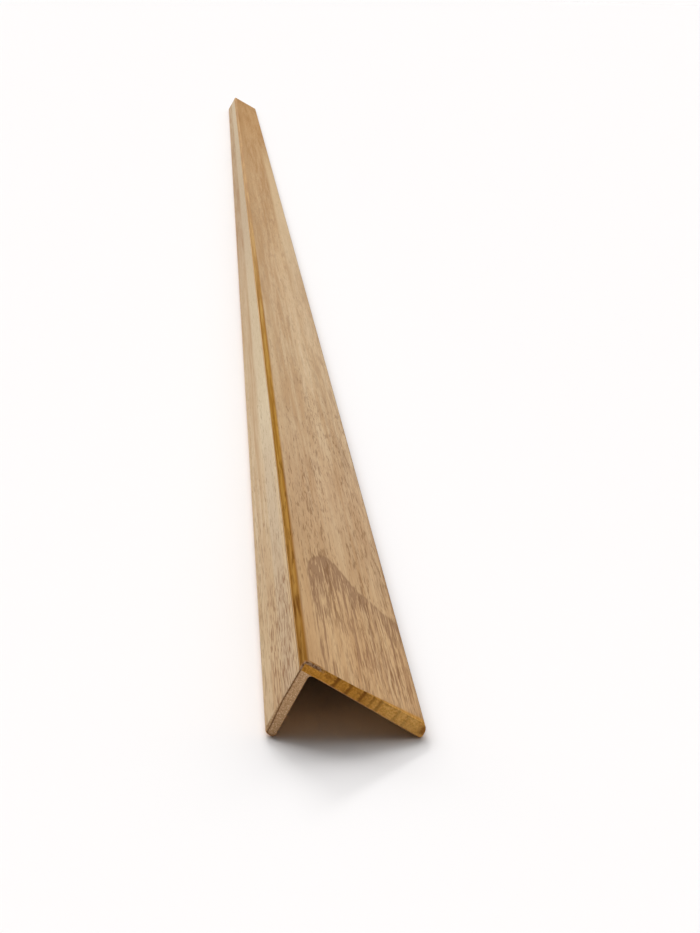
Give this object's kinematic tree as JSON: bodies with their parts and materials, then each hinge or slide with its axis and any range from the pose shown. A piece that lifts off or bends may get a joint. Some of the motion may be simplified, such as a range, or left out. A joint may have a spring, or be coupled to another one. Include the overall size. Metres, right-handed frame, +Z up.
{
  "type": "wooden angle trim",
  "caption": "Length of solid wooden angle moulding with unequal thin legs, a rounded ridge and eased ends, for covering a wall corner.",
  "frame": {"origin": "on the ground, at the middle of the footprint's bounding box", "axes": "+Y along the strip from the near end to the far end, +Z up through the ridge side, +X toward the tip of the wide leg"},
  "size_m": [0.0282, 2, 0.0137],
  "materials": {
    "wood": "satin oiled, open brown pores running along the length"
  },
  "bodies": {
    "root": {"angle_trim": "wood"}
  },
  "joints": []
}
